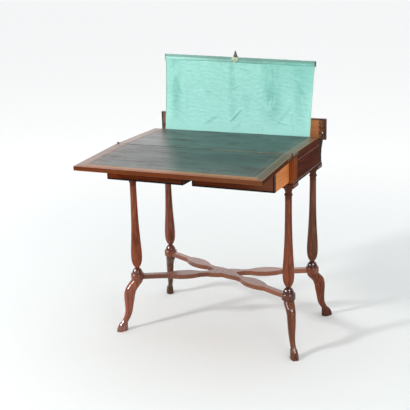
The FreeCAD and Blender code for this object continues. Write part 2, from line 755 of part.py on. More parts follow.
# The frame's origin lies on the floor, midway between the outermost points of the table
whole = Part.makeCompound(list(nodes.values())).optimalBoundingBox()
to_origin = vec(-(whole.XMin + whole.XMax) / 2, -(whole.YMin + whole.YMax) / 2, 0)
os.makedirs("parts", exist_ok=True)
for name, shape in nodes.items():
    shape.translated(to_origin).exportStep("parts/" + name + ".step")
print(len(nodes), "nodes, shift", to_origin, "low", whole.ZMin, "droop", round(leaf_droop_deg, 4))
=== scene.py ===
import math
import bmesh
import bpy
import numpy as np
from mathutils import Matrix, Vector


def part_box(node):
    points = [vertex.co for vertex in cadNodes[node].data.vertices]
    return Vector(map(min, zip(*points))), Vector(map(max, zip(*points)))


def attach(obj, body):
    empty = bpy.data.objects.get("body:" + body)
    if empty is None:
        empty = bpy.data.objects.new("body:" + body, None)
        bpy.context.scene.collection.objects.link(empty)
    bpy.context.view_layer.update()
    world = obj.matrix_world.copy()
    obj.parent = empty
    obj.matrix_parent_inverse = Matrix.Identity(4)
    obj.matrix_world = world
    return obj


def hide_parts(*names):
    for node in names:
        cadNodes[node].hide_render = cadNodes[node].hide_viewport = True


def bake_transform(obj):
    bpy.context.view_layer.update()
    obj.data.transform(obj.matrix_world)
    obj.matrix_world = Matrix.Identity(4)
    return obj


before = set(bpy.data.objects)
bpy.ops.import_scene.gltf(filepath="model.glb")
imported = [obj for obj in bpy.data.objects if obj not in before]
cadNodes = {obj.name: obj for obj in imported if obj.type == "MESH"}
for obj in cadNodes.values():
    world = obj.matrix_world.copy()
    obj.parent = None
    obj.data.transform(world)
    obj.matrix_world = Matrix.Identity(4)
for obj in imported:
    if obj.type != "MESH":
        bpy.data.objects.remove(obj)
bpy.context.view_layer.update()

scene = bpy.context.scene
scene.view_settings.view_transform = "Standard"
print("frame loaded,", len(cadNodes), "nodes")


# a dictionary of what a user would change, whose entries are read by name
class Look(dict):
    __getattr__ = dict.__getitem__


# camera at the photograph's angle: turn and tilt round the aim point, then a small slide and roll
cameraLook = Look(
    azimuth=24.131, elevation=15.818, roll=-1.588, distance=3.12109, aim=(0, 0.128131, 0.45),
    slideRight=-0.0690174, slideUp=0.0202955, lens=74.03, sensor=36, far=300)


def placeCamera(look):
    az, el, roll = (math.radians(look[k]) for k in ("azimuth", "elevation", "roll"))
    back = Vector((math.sin(az) * math.cos(el), -math.cos(az) * math.cos(el), math.sin(el)))
    right = (-back).cross(Vector((0, 0, 1))).normalized()
    up = right.cross(-back)
    aim = Vector(look.aim) + right * look.slideRight + up * look.slideUp
    across = right * math.cos(roll) + up * math.sin(roll)
    upright = up * math.cos(roll) - right * math.sin(roll)
    lens = bpy.data.cameras.new("photoCamera")
    lens.sensor_width = look.sensor
    lens.lens = look.lens
    lens.clip_end = look.far
    camera = bpy.data.objects.new("photoCamera", lens)
    camera.matrix_world = Matrix((across, upright, back)).transposed().to_4x4()
    camera.matrix_world.translation = aim + back * look.distance
    scene.collection.objects.link(camera)
    scene.camera = camera


placeCamera(cameraLook)


# a node tree with short ways to add nodes to it
class Nodes:
    def __init__(self, tree):
        self.tree = tree

    # a socket is linked, a value is set, and a colour is made opaque
    def feed(self, node, key, value):
        socket = node.inputs[key]
        if isinstance(value, bpy.types.NodeSocket):
            self.tree.links.new(value, socket)
        else:
            socket.default_value = (*value, 1) if socket.type == "RGBA" else value

    def put(self, kind, inputs=None, **settings):
        node = self.tree.nodes.new("ShaderNode" + kind)
        for key, value in settings.items():
            setattr(node, key, value)
        for key, value in (inputs or {}).items():
            self.feed(node, key, value)
        return node

    def use(self, group, **inputs):
        return self.put("Group", inputs, node_tree=group).outputs

    def calc(self, work, a, b=0, c=0):
        return self.put("Math", {0: a, 1: b, 2: c}, operation=work).outputs[0]

    def times(self, a, b):
        return self.calc("MULTIPLY", a, b)

    def timesPlus(self, a, b, c):
        return self.calc("MULTIPLY_ADD", a, b, c)

    def minus(self, a, b):
        return self.calc("SUBTRACT", a, b)

    def size(self, a):
        return self.calc("ABSOLUTE", a)

    # a soft step between two values: a row holds both, the share at the end and the one at the start
    def fade(self, value, start, end, share=1, first=0):
        inputs = {"Value": value, "From Min": start, "From Max": end, "To Min": first, "To Max": share}
        return self.put("MapRange", inputs, interpolation_type="SMOOTHSTEP").outputs[0]

    def tint(self, share, a, b):
        return self.put("Mix", {0: share, 6: a, 7: b}, data_type="RGBA").outputs[2]

    # a colour that sets in over another: a row holds the fade and then the colour
    def wash(self, color, value, row):
        return self.tint(self.fade(value, *row[:-1]), color, row[-1])

    # a colour laid on where a mask is, at a share or within a second mask
    def lay(self, color, mask, share, over):
        return self.tint(self.times(mask, share), color, over)

    def axes(self, vector):
        return self.put("SeparateXYZ", {0: vector}).outputs

    def stretch(self, place, scale):
        return self.put("VectorMath", {0: place, 1: scale}, operation="MULTIPLY").outputs[0]

    # a row of noise holds its scale, or a stretch along x, y and z, then detail, roughness and bend
    def noise(self, place, row, scale=1):
        spread, detail, rough, bend = row
        if isinstance(spread, tuple):
            place = self.stretch(place, spread)
        else:
            scale = spread
        inputs = {"Vector": place, "Scale": scale, "Detail": detail, "Roughness": rough}
        return self.put("TexNoise", {**inputs, "Distortion": bend}).outputs["Fac"]


# a shared effect: a node group with its input sockets and its output node
def shared(name, takes, gives):
    group = bpy.data.node_groups.new(name, "ShaderNodeTree")
    for side, sockets in (("INPUT", takes), ("OUTPUT", gives)):
        for label, kind in sockets.items():
            group.interface.new_socket(name=label, in_out=side, socket_type="NodeSocket" + kind)
    return Nodes(group), group.nodes.new("NodeGroupInput").outputs, group.nodes.new("NodeGroupOutput")


# wood: broad stripe, growth lines, fine streaks and short dark pores, all along the mapped x axis
grainLook = Look(
    broad=((1.6, 19, 19), 3, 0.55, 0.5), ribbon=((5, 70, 70), 2, 0.5, 0.8), bodyFade=(0.3, 0.7),
    broadShare=0.65, ribbonShare=0.35, streak=((9, 420, 420), 2, 0.6, 0), streakFade=(0.42, 0.75),
    streakRise=0.35, speck=((70, 1300, 1300), 1, 0.5, 0), speckFade=(0.6, 0.72), poreShare=0.6,
    ring=(0.35, 1, 0.8), ringScale=24, ringBend=5.5, ringDetail=2, ringFine=1.6, ringShare=0.5,
    ringLeast=0.25)


def makeWoodGrain(look):
    takes = dict(along="Vector", dark="Color", base="Color", light="Color",
                 figure="Float", pores="Float")
    n, take, give = shared("woodGrain", takes, dict(color="Color", height="Float"))
    along = take["along"]
    broad, ribbon = (n.fade(n.noise(along, look[k], take["figure"]), *look.bodyFade)
                     for k in ("broad", "ribbon"))
    wave = {"Vector": n.stretch(along, look.ring), "Scale": look.ringScale,
            "Distortion": look.ringBend, "Detail": look.ringDetail, "Detail Scale": look.ringFine}
    rings = n.put("TexWave", wave, bands_direction="Y").outputs["Fac"]
    streak, speck = n.noise(along, look.streak), n.noise(along, look.speck)
    pore = n.times(n.fade(speck, *look.speckFade), take["pores"])
    body = n.calc("ADD", n.times(broad, look.broadShare), n.times(ribbon, look.ribbonShare))
    color = n.tint(body, take["dark"], take["base"])
    ringed = n.timesPlus(rings, look.ringShare, look.ringLeast)
    color = n.lay(color, n.fade(streak, *look.streakFade), ringed, take["light"])
    color = n.lay(color, pore, look.poreShare, take["dark"])
    n.feed(give, "color", color)
    n.feed(give, "height", n.minus(n.times(streak, look.streakRise), pore))
    return n.tree


# rubbed edges: how far the rounded normal leans away from the true one
rubLook = Look(samples=4, leanFade=(0.985, 0.8), patch=(55, 3, 0.6, 0), patchFade=(0.3, 0.65))


def makeEdgeRub(look):
    n, take, give = shared("edgeRub", dict(reach="Float", place="Vector"), dict(rub="Float"))
    soft = n.put("Bevel", {"Radius": take["reach"]}, samples=look.samples).outputs[0]
    true = n.put("NewGeometry").outputs["Normal"]
    lean = n.put("VectorMath", {0: soft, 1: true}, operation="DOT_PRODUCT").outputs["Value"]
    patch = n.fade(n.noise(take["place"], look.patch), *look.patchFade)
    n.feed(give, "rub", n.times(n.fade(lean, *look.leanFade), patch))
    return n.tree


# polish: cloudy patches of gloss with faint finger marks and scratches
polishLook = Look(
    patch=(14, 3, 0.6, 0), patchShare=0.6, patchRise=0.8, smear=((60, 18, 40), 2, 0.6, 0),
    smearShare=0.4, ripple=(130, 2, 0.5, 0), rippleRise=0.2, middle=0.5, least=0.06)


def makePolish(look):
    takes = dict(place="Vector", smooth="Float", spread="Float")
    n, take, give = shared("polish", takes, dict(rough="Float", height="Float"))
    patch, smear, ripple = (n.noise(take["place"], look[k]) for k in ("patch", "smear", "ripple"))
    mixed = n.timesPlus(smear, look.smearShare, n.times(patch, look.patchShare))
    rough = n.timesPlus(n.minus(mixed, look.middle), take["spread"], take["smooth"])
    n.feed(give, "rough", n.calc("MAXIMUM", rough, look.least))
    n.feed(give, "height", n.timesPlus(patch, look.patchRise, n.times(ripple, look.rippleRise)))
    return n.tree


# a soft-edged line at a distance from some edge
lineLook = Look(soft=(1.25, 0.75))


def makeLine(look):
    takes = dict(distance="Float", centre="Float", half="Float")
    n, take, give = shared("line", takes, dict(mask="Float"))
    off = n.size(n.minus(take["distance"], take["centre"]))
    n.feed(give, "mask", n.fade(n.calc("DIVIDE", off, take["half"]), *look.soft))
    return n.tree


woodGrain = makeWoodGrain(grainLook)
edgeRub = makeEdgeRub(rubLook)
polish = makePolish(polishLook)
lineMask = makeLine(lineLook)

# which way the mapped x axis lies on a piece: a turn of the object's own coordinates
railTurn = math.radians(25.64)
grainTurns = dict(x=(0, 0, 0), y=(0, 0, math.radians(-90)), z=(0, math.radians(90), 0),
                  lower=(0, 0, -railTurn), upper=(0, 0, railTurn))
noShift = (0, 0, 0)
# the last coats on every wood: rubbed edges, polish and the rise of both
finishLook = Look(rubReach=0.0022, rubShare=0.55, polishRise=0.5, bump=(0.16, 0.0006))
# the shader's sockets, by the names that the looks use
shaderSockets = dict(
    color="Base Color", rough="Roughness", shine="Specular IOR Level", metallic="Metallic",
    normal="Normal", coat="Coat Weight", coatRough="Coat Roughness", coatIor="Coat IOR",
    sheen="Sheen Weight", sheenRough="Sheen Roughness")


# a material: its node tree, its shader and the object's own coordinates
class Paint(Nodes):
    def __init__(self, name, **constants):
        self.material = bpy.data.materials.new(name)
        self.material.use_nodes = True
        super().__init__(self.material.node_tree)
        self.shader = self.tree.nodes["Principled BSDF"]
        for key, value in constants.items():
            self.show(key, value)
        self.spot = self.put("TexCoord").outputs
        self.place = self.spot["Object"]
        self.x, self.y, self.z = self.axes(self.place)

    def facing(self, axis):
        return self.axes(self.spot["Normal"])[axis]

    # faces that look left or right
    def ends(self, least):
        return self.calc("GREATER_THAN", self.size(self.facing("X")), least)

    def show(self, key, value):
        self.feed(self.shader, shaderSockets[key], value)

    def bump(self, height, strength, reach):
        inputs = {"Height": height, "Strength": strength, "Distance": reach}
        self.show("normal", self.put("Bump", inputs).outputs[0])

    def line(self, distance, centre, half):
        return self.use(lineMask, distance=distance, centre=centre, half=half)["mask"]

    def grain(self, look, turn, shift=noShift):
        inputs = {"Vector": self.place, "Rotation": grainTurns[turn], "Location": shift}
        along = self.put("Mapping", inputs).outputs[0]
        parts = {key: look[key] for key in ("dark", "base", "light", "figure", "pores")}
        return self.use(woodGrain, along=along, **parts)

    def finish(self, color, grain, look):
        rub = self.use(edgeRub, reach=finishLook.rubReach, place=self.place)["rub"]
        self.show("color", self.lay(color, rub, finishLook.rubShare, look.worn))
        gloss = self.use(polish, place=self.place, smooth=look.smooth, spread=look.spread)
        self.show("rough", gloss["rough"])
        height = self.timesPlus(gloss["height"], finishLook.polishRise, grain["height"])
        self.bump(height, *finishLook.bump)
        return self.material


# finishes of the woods, the drawer fronts darkened with painted shade and the bead paler for a painted
# highlight: four colours in linear light, then the strengths in the order of these names
woodParts = "dark base light worn figure pores smooth spread shine coat coatRough".split()
woodRows = {
    "mahogany": ((0.1, 0.028, 0.013), (0.243, 0.08, 0.035), (0.35, 0.135, 0.066),
        (0.4, 0.16, 0.07), 1, 0.55, 0.26, 0.14, 0.2, 0.36, 0.36),
    "turnedMahogany": ((0.066, 0.013, 0.005), (0.24, 0.06, 0.024), (0.36, 0.115, 0.052),
        (0.34, 0.1, 0.04), 2.5, 0.5, 0.24, 0.16, 0.03, 0.14, 0.07),
    "darkMahogany": ((0.018, 0.005, 0.003), (0.06, 0.014, 0.007), (0.14, 0.04, 0.018),
        (0.22, 0.07, 0.03), 1.4, 0.3, 0.2, 0.1, 0.1, 0.62, 0.07),
    "sideMahogany": ((0.029, 0.005, 0.002), (0.08, 0.0145, 0.0045), (0.16, 0.033, 0.01),
        (0.17, 0.05, 0.025), 0.8, 0.5, 0.36, 0.14, 0, 0.06, 0.07),
    "postMahogany": ((0.11, 0.022, 0.006), (0.23, 0.056, 0.013), (0.36, 0.115, 0.035),
        (0.38, 0.15, 0.06), 1, 0.5, 0.32, 0.16, 0, 0.06, 0.07),
    # drawer fronts: a dark copy of the mahogany, painted shade from the leaf above
    "frontMahogany": ((0.07, 0.014, 0.005), (0.145, 0.034, 0.012), (0.2, 0.054, 0.02),
        (0.22, 0.07, 0.03), 1.3, 0.5, 0.32, 0.14, 0, 0.02, 0.03),
    # bead: a paler copy of the mahogany, so the thin bead shows a painted highlight
    "beadMahogany": ((0.06, 0.02, 0.012), (0.125, 0.046, 0.03), (0.2, 0.085, 0.058),
        (0.28, 0.14, 0.1), 1, 0.3, 0.4, 0.14, 0.03, 0.03, 0.07),
    "mouldMahogany": ((0.02, 0.008, 0.005), (0.06, 0.027, 0.019), (0.12, 0.058, 0.04),
        (0.32, 0.2, 0.15), 1, 0.3, 0.38, 0.14, 0, 0.04, 0.1),
    "stileMahogany": ((0.02, 0.011, 0.007), (0.046, 0.027, 0.018), (0.085, 0.05, 0.034),
        (0.12, 0.07, 0.05), 0.8, 0.5, 0.36, 0.14, 0, 0.06, 0.07),
    "leafEdge": ((0.135, 0.026, 0.007), (0.268, 0.066, 0.018), (0.37, 0.118, 0.04),
        (0.36, 0.17, 0.08), 1, 0.5, 0.3, 0.14, 0, 0.04, 0.12),
    "banding": ((0.09, 0.034, 0.016), (0.165, 0.071, 0.036), (0.25, 0.125, 0.062),
        (0.45, 0.27, 0.14), 1, 0.5, 0.3, 0.14, 0.22, 0, 0.07),
    "frontBanding": ((0.17, 0.04, 0.007), (0.28, 0.076, 0.014), (0.38, 0.13, 0.036),
        (0.45, 0.27, 0.14), 1, 0.5, 0.3, 0.14, 0.1, 0, 0.07),
    "lathWood": ((0.045, 0.034, 0.026), (0.095, 0.072, 0.054), (0.15, 0.115, 0.085),
        (0.16, 0.12, 0.09), 0.7, 0.4, 0.55, 0.12, 0.1, 0, 0.07),
    "drawerWood": ((0.45, 0.138, 0.032), (0.63, 0.212, 0.057), (0.75, 0.31, 0.11),
        (0.5, 0.22, 0.09), 0.7, 0.4, 0.55, 0.12, 0.08, 0, 0.07),
    "flapWood": ((0.59, 0.172, 0.06), (0.7, 0.255, 0.097), (0.82, 0.36, 0.16),
        (0.22, 0.07, 0.03), 0.9, 0.5, 0.42, 0.14, 0.15, 0.05, 0.03),
    "flapClamp": ((0.095, 0.03, 0.012), (0.26, 0.095, 0.04), (0.36, 0.15, 0.065),
        (0.22, 0.07, 0.03), 0.9, 0.5, 0.42, 0.14, 0.15, 0.05, 0.03),
    "ebonised": ((0.004, 0.003, 0.003), (0.01, 0.007, 0.006), (0.026, 0.016, 0.012),
        (0.1, 0.04, 0.02), 1, 0.3, 0.34, 0.14, 0.06, 0.04, 0.07),
}
woodLooks = {kind: Look(zip(woodParts, row)) for kind, row in woodRows.items()}
madeWoods = {}


# a wood whose colours are multiplied by shares of red, green and blue
def shadedLook(kind, shades):
    look = Look(woodLooks[kind])
    for key in ("dark", "base", "light"):
        look[key] = tuple(c * s for c, s in zip(look[key], shades))
    return look


def woodPaint(name, look, **constants):
    kept = {key: look[key] for key in ("coat", "coatRough", "shine")}
    return Paint(name, **{**kept, **constants})


def wood(kind, turn, shift=noShift):
    key = kind + "_" + turn + "_%.2f" % sum(shift)
    if key not in madeWoods:
        look = woodLooks[kind]
        p = woodPaint(key, look)
        grain = p.grain(look, turn, shift)
        madeWoods[key] = p.finish(grain["color"], grain, look)
    return madeWoods[key]


# columns: turned wood, darkened unevenly, and darker still round the capital and its ring, where the
# darkening is painted shade under the table's body
columnLook = Look(
    ring=0.054, neck=0.068, share=0.78, color=(0.06, 0.014, 0.006), start=0.15, step=0.37,
    shades=((1.12, 1.14, 1.2), (1, 1.1, 1.28), (0.95, 1.25, 1.9), (0.68, 0.98, 1.3)))
# the looks of the legs hold a row for each corner, in this order
corners = ("front_left", "front_right", "back_left", "back_right")


def columnMaterial(extra, k):
    look, shift = shadedLook("turnedMahogany", extra.shades[k]), extra.step * k
    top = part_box("leg_column_" + corners[k])[1].z
    p = woodPaint("columnWood_%.2f" % shift, look)
    grain = p.grain(look, "z", (0, extra.start, shift))
    # painted shade round the capital and its ring
    headShade = p.fade(p.z, top - extra.neck, top - extra.ring, extra.share)
    return p.finish(p.tint(headShade, grain["color"], extra.color), grain, look)


# rails: darker on top as painted shade, redder and glossier towards the back; coats are at the back and in
# front
railLook = Look(
    reach=(0.1, 0.22), coat=(0.54, 0.42), share=0.3, color=(0.34, 0.1, 0.045), topFade=(0.5, 0.9, 0.2))


def railMaterial(extra, turn):
    look = woodLooks["mahogany"]
    p = Paint("railWood_" + turn, coatRough=look.coatRough, shine=look.shine)
    grain = p.grain(look, turn)
    # painted shade on the tops
    color = p.tint(p.fade(p.facing("Z"), *extra.topFade), grain["color"], look.dark)
    color = p.tint(p.fade(p.y, *extra.reach, extra.share), color, extra.color)
    p.show("coat", p.fade(p.y, *extra.reach, *extra.coat))
    return p.finish(color, grain, look)


# base mouldings: strips that run both ways, redder in front, with a pale line near the top that comes and
# goes, a painted highlight
mouldLook = Look(
    level=0.72, half=0.0016, pale=(0.38, 0.26, 0.21), breaks=(160, 3, 0.6, 0),
    breakFade=(0.36, 0.56, 0.95, 0.25), frontFade=(-0.5, -0.8, 0.62), sideways=0.35)


def mouldMaterial(extra):
    look = woodLooks["mouldMahogany"]
    low, high = (corner.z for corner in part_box("base_mouldings"))
    p = woodPaint("mouldStrips", look)
    sideways = p.ends(extra.sideways)
    first, second = p.grain(look, "x"), p.grain(look, "y")
    front = p.fade(p.facing("Y"), *extra.frontFade)
    color = p.tint(front, first["color"], woodLooks["postMahogany"].base)
    color = p.tint(sideways, color, second["color"])
    # a painted highlight: a thin pale line along the strips, in patches
    line = p.line(p.z, low + extra.level * (high - low), extra.half)
    brokenHighlight = p.fade(p.noise(p.place, extra.breaks), *extra.breakFade)
    color = p.lay(color, line, brokenHighlight, extra.pale)
    return p.finish(color, first, look)


# leaf: plain board with a crossbanded border, mitred at the front corners, and a light string inside it;
# the left border carries a painted reflection, and the lower edge and the ends carry painted shade
leafLook = Look(
    halfWidth=0.328, squareOn=0.7, border=0.03, lip=0.003, lipSoft=0.0002, bandShift=(0, 0.31, 0),
    string=0.0022, stringInk=(0.6, (0.4, 0.27, 0.13)), endInk=(0.85, (0.055, 0.016, 0.008)),
    under=(0.0045, 0.0095), underInk=(0.6, (0.046, 0.013, 0.006)),
    pale=(0.0125, 0.0165, 0.34, (0.44, 0.25, 0.09)), faded=(-0.25, -0.315, 0.18, (0.5, 0.46, 0.43)),
    edge=(0.02, 0.24, 0.45, (0.3, 0.135, 0.058)), rightColor=(0.06, 0.04, 0.012),
    right=(0.25, 0.29, 0.7), rightDepth=(0.06, -0.2), dull=(0, -0.25, 0.45), dullDepth=(0, 0.2))
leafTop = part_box("front_leaf")[1].z


def leafMaterial(extra, name, frontEdge):
    look, sideWood, frontWood = (woodLooks[kind] for kind in ("leafEdge", "banding", "frontBanding"))
    p = woodPaint(name, look)
    x, y = p.x, p.y
    fromSide = p.minus(extra.halfWidth, p.size(x))
    fromFront = p.minus(y, frontEdge)
    inward = p.calc("MINIMUM", fromSide, fromFront)
    sideBand = p.calc("LESS_THAN", fromSide, fromFront)
    top = p.calc("GREATER_THAN", p.facing("Z"), extra.squareOn)
    banded = p.times(top, p.fade(inward, extra.lip - extra.lipSoft, extra.lip + extra.lipSoft))
    plain = p.grain(look, "x")
    frontColor = p.wash(p.grain(frontWood, "y")["color"], fromFront, extra.pale)
    # the left border pales towards its outer edge: a painted reflection
    sideColor = p.wash(p.grain(sideWood, "x", extra.bandShift)["color"], x, extra.faded)
    darkened = p.times(p.fade(x, *extra.right), p.fade(y, *extra.rightDepth))
    sideColor = p.tint(darkened, sideColor, extra.rightColor)
    edge = p.wash(plain["color"], x, extra.edge)
    color = p.tint(banded, edge, p.tint(sideBand, frontColor, sideColor))
    string = p.line(inward, extra.border - extra.string / 2, extra.string / 2)
    color = p.lay(color, p.times(top, string), *extra.stringInk)
    # the lower part of the leaf's edges is darkened: painted shade
    under = p.fade(p.z, *(leafTop - drop for drop in extra.under))
    color = p.lay(color, p.times(under, p.minus(1, top)), *extra.underInk)
    # the leaf's end faces are darkened: painted shade
    color = p.lay(color, p.ends(extra.squareOn), *extra.endInk)
    bandShine = p.timesPlus(sideBand, sideWood.shine - frontWood.shine, frontWood.shine)
    gleam = p.timesPlus(top, p.minus(bandShine, look.shine), look.shine)
    dull = p.times(p.fade(y, *extra.dullDepth), p.fade(x, *extra.dull))
    p.show("shine", p.times(gleam, p.minus(1, dull)))
    return p.finish(color, plain, look)


# leather: near-black green skin with fine pebble grain, a dulled tooled band and gilt lines beside it; it
# carries a painted reflection to the left, and painted shade and reflection at the seam
leatherLook = Look(
    halfWidth=0.298, dark=(0.003, 0.006, 0.005), light=(0.3, 0.72, (0.013, 0.026, 0.02)), smooth=0.27,
    spread=0.16, patch=((5, 13, 5), 4, 0.6, 0.4), patchSheen=(0.3, 0.7, 0.64, 0.44),
    scuffs=((14, 90, 60), 4, 0.65, 0.6), scuffed=(0.6, 0.8, 0.5, (0.06, 0.064, 0.048)),
    scuffDull=(0.16, -0.15), scuffRise=0.8, grey=(0.05, 0.049, 0.043), greyAcross=(0.08, -0.3),
    greyScuff=(0.25, 0.6, 0.85, 0.35), greyDepth=(-0.1, 0.12, 1.15, 1), bare=((7, 26, 7), 5, 0.65, 0.8),
    bareFade=(0.47, 0.66), brown=(0.8, (0.03, 0.021, 0.014)), bareSheen=-0.2, bareDull=0.3, band=0.024,
    bandSoft=0.0006, bandColor=(0.028, 0.03, 0.021), bandShare=0.75,
    leftBand=(-0.2, -0.28, (0.066, 0.022, 0.011)),
    lines=((0.0028, 0.0007), (0.024, 0.0008), (0.02, 0.0004)), gilt=(0.45, (0.3, 0.21, 0.09)),
    giltSink=0.6, giltWorn=(60, 3, 0.6, 0), wornFade=(0.34, 0.52), fold=(0.00425, 0.00255),
    foldShare=0.85, foldSheen=-0.42, foldDark=(0.003, 0.003, 0.003),
    foldPale=(-0.06, 0.12, (0.22, 0.15, 0.08)), pebbles=900, pebbleRise=0.12, bump=(0.09, 0.0006))


def leatherMaterial(look, name, frontEdge, seamEdge):
    p = Paint(name)
    x, y = p.x, p.y
    inward = p.calc("MINIMUM", p.minus(look.halfWidth, p.size(x)), p.minus(y, frontEdge))
    patch, scuffs, bare = (p.noise(p.place, look[k]) for k in ("patch", "scuffs", "bare"))
    color = p.wash(look.dark, patch, look.light)
    # to the left the skin turns grey where it is scuffed: a painted reflection, laid over the real scuffs
    leftSkinReflection = p.times(p.fade(x, *look.greyAcross), p.fade(scuffs, *look.greyScuff))
    color = p.lay(color, leftSkinReflection, p.fade(y, *look.greyDepth), look.grey)
    rubbed = p.fade(bare, *look.bareFade)
    color = p.lay(color, rubbed, *look.brown)
    color = p.wash(color, scuffs, look.scuffed)
    band = p.fade(inward, look.band + look.bandSoft, look.band - look.bandSoft)
    bandColor = p.wash(look.bandColor, x, look.leftBand)
    color = p.lay(color, band, look.bandShare, bandColor)
    gilt = 0
    for centre, half in look.lines:
        gilt = p.calc("MAXIMUM", p.line(inward, centre, half), gilt)
    gilt = p.times(gilt, p.fade(p.noise(p.place, look.giltWorn), *look.wornFade))
    color = p.lay(color, gilt, *look.gilt)
    # along the seam the skin is painted dark to the left as shade and pale to the right as a reflection
    fold = p.fade(p.size(p.minus(y, seamEdge)), *look.fold)
    seamShadeAndReflection = p.wash(look.foldDark, x, look.foldPale)
    p.show("color", p.lay(color, fold, look.foldShare, seamShadeAndReflection))
    sheen = p.timesPlus(rubbed, look.bareSheen, p.fade(patch, *look.patchSheen))
    p.show("shine", p.timesPlus(fold, look.foldSheen, sheen))
    gloss = p.use(polish, place=p.place, smooth=look.smooth, spread=look.spread)
    dull = p.timesPlus(bare, look.bareDull, p.timesPlus(scuffs, *look.scuffDull))
    p.show("rough", p.calc("ADD", gloss["rough"], dull))
    pebble = p.put("TexVoronoi", {"Vector": p.place, "Scale": look.pebbles}, feature="F1")
    height = p.timesPlus(scuffs, look.scuffRise, gloss["height"])
    height = p.timesPlus(pebble.outputs["Distance"], look.pebbleRise, height)
    p.bump(p.minus(height, p.times(gilt, look.giltSink)), *look.bump)
    return p.material


# flap: pale board whose ends are clamped by darker strips, with a dark line where they meet; its end faces
# and slot walls are painted dark as shade
flapLook = Look(
    clamp=0.313, leftClamp=0.324, clampFade=(-0.014, 0.01), joint=0.0009, jointShare=0.35,
    ink=(0.02, 0.01, 0.006), stains=((95, 95, 75), 4, 0.6, 0.7), stainReach=(-0.012, 0.002),
    stainFade=(0.46, 0.6, 0.85), rim=(0.005, 0.003), rimShare=0.8, sideRim=(0.0155, 0.0175),
    squareOn=0.7, shade=(-0.2, -0.27, 0.72, (0.15, 0.082, 0.055)), leftRim=(0.0064, 0.0044),
    leftRimShare=0.9)
flapEnd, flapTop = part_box("rear_flap")[0].x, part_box("rear_flap")[1].z


def flapMaterial(extra):
    look, clampLook = woodLooks["flapWood"], woodLooks["flapClamp"]
    p = woodPaint("flapWood", look)
    x, ink = p.x, extra.ink
    leftward = p.calc("LESS_THAN", x, 0)
    start = p.timesPlus(leftward, extra.leftClamp - extra.clamp, extra.clamp)
    reach = p.minus(p.size(x), start)
    board, clamp = p.grain(look, "x"), p.grain(clampLook, "z")
    color = p.tint(p.fade(reach, *extra.clampFade), board["color"], clamp["color"])
    stains = p.fade(p.noise(p.place, extra.stains), *extra.stainFade)
    color = p.lay(color, p.fade(reach, *extra.stainReach), stains, ink)
    rim = p.fade(p.z, *(flapTop - drop for drop in extra.rim), extra.rimShare)
    rim = p.calc("MAXIMUM", rim, p.fade(reach, *extra.sideRim, extra.rimShare))
    color = p.tint(rim, color, ink)
    color = p.wash(color, x, extra.shade)
    leftRim = p.fade(x, *(flapEnd + inset for inset in extra.leftRim), extra.leftRimShare)
    color = p.tint(leftRim, color, ink)
    # painted shade: faces that look left or right, the ends and the walls of the slots, are darkened
    color = p.tint(p.ends(extra.squareOn), color, ink)
    joint = p.times(p.line(reach, 0, extra.joint), extra.jointShare)
    return p.finish(p.tint(joint, color, clampLook.dark), board, look)


# metals: tarnish in patches over a brushed base
tarnishLook = Look(
    patch=(90, 4, 0.62, 0), polishScale=(6, 6, 6), spread=0.3, bump=(0.12, 0.0004),
    tipColor=(0.03, 0.022, 0.016))
metalParts = ("clean", "stain", "smooth", "metallic")
metalRows = {
    "brass": ((0.44, 0.3, 0.125), (0.42, 0.72, (0.16, 0.11, 0.055)), 0.28, 1),
    "dullBrass": ((0.36, 0.42, 0.28), (0.35, 0.65, (0.21, 0.26, 0.18)), 0.5, 0.3),
    "finialBrass": ((0.085, 0.07, 0.045), (0.32, 0.62, (0.022, 0.018, 0.013)), 0.55, 0.5),
    "agedBrass": ((0.32, 0.23, 0.11), (0.32, 0.62, (0.045, 0.038, 0.028)), 0.36, 1),
    # hinge brass is dark: painted shade that carries on the shaded ends of the leaf
    "hingeBrass": ((0.115, 0.08, 0.045), (0.32, 0.62, (0.028, 0.02, 0.014)), 0.5, 0.6),
    "iron": ((0.05, 0.044, 0.04), (0.35, 0.65, (0.02, 0.013, 0.01)), 0.68, 0.4),
}


def metal(kind, tip=None):
    look = Look(zip(metalParts, metalRows[kind]))
    p = Paint(kind, metallic=look.metallic)
    color = p.wash(look.clean, p.noise(p.place, tarnishLook.patch), look.stain)
    if tip:
        color = p.tint(p.fade(p.z, *tip), color, tarnishLook.tipColor)
    p.show("color", color)
    place = p.stretch(p.place, tarnishLook.polishScale)
    gloss = p.use(polish, place=place, smooth=look.smooth, spread=tarnishLook.spread)
    p.show("rough", gloss["rough"])
    p.bump(gloss["height"], *tarnishLook.bump)
    return p.material


# drawer fronts: plain veneer, redder at the left-hand end and paler at the right-hand one, where the paler
# end is a painted sheen
drawerFrontLook = Look(
    shift=(0.3, 0, 0), right=(0.16, 0.31, 0.6, (0.2, 0.078, 0.044)),
    left=(-0.1, -0.28, 0.6, (0.14, 0.018, 0.003)))


def drawerFrontMaterial(extra):
    look = woodLooks["frontMahogany"]
    p = woodPaint("drawerVeneer", look)
    grain = p.grain(look, "x", extra.shift)
    # the paler right-hand end is a painted sheen
    color = p.wash(p.wash(grain["color"], p.x, extra.right), p.x, extra.left)
    return p.finish(color, grain, look)


# drum: brown round the rails' sockets, blackened bulb above; shares of black are above and below
drumLook = Look(
    top=0.2155, soft=0.0012, step=0.21, coat=(0.8, 0.7, 0.8, 0.62),
    share=((0.5, 0.12), (1, 0.62), (0.5, 0.12), (1, 0)))


def drumMaterial(extra, k):
    look, shift = woodLooks["darkMahogany"], extra.step * k
    p = woodPaint("drumWood_%.2f" % shift, look, coat=extra.coat[k])
    along = "z", (0, 0, shift)
    black, brown = p.grain(look, *along), p.grain(woodLooks["turnedMahogany"], *along)
    upper = p.fade(p.z, extra.top - extra.soft, extra.top + extra.soft, *extra.share[k])
    return p.finish(p.tint(upper, brown["color"], black["color"]), brown, look)


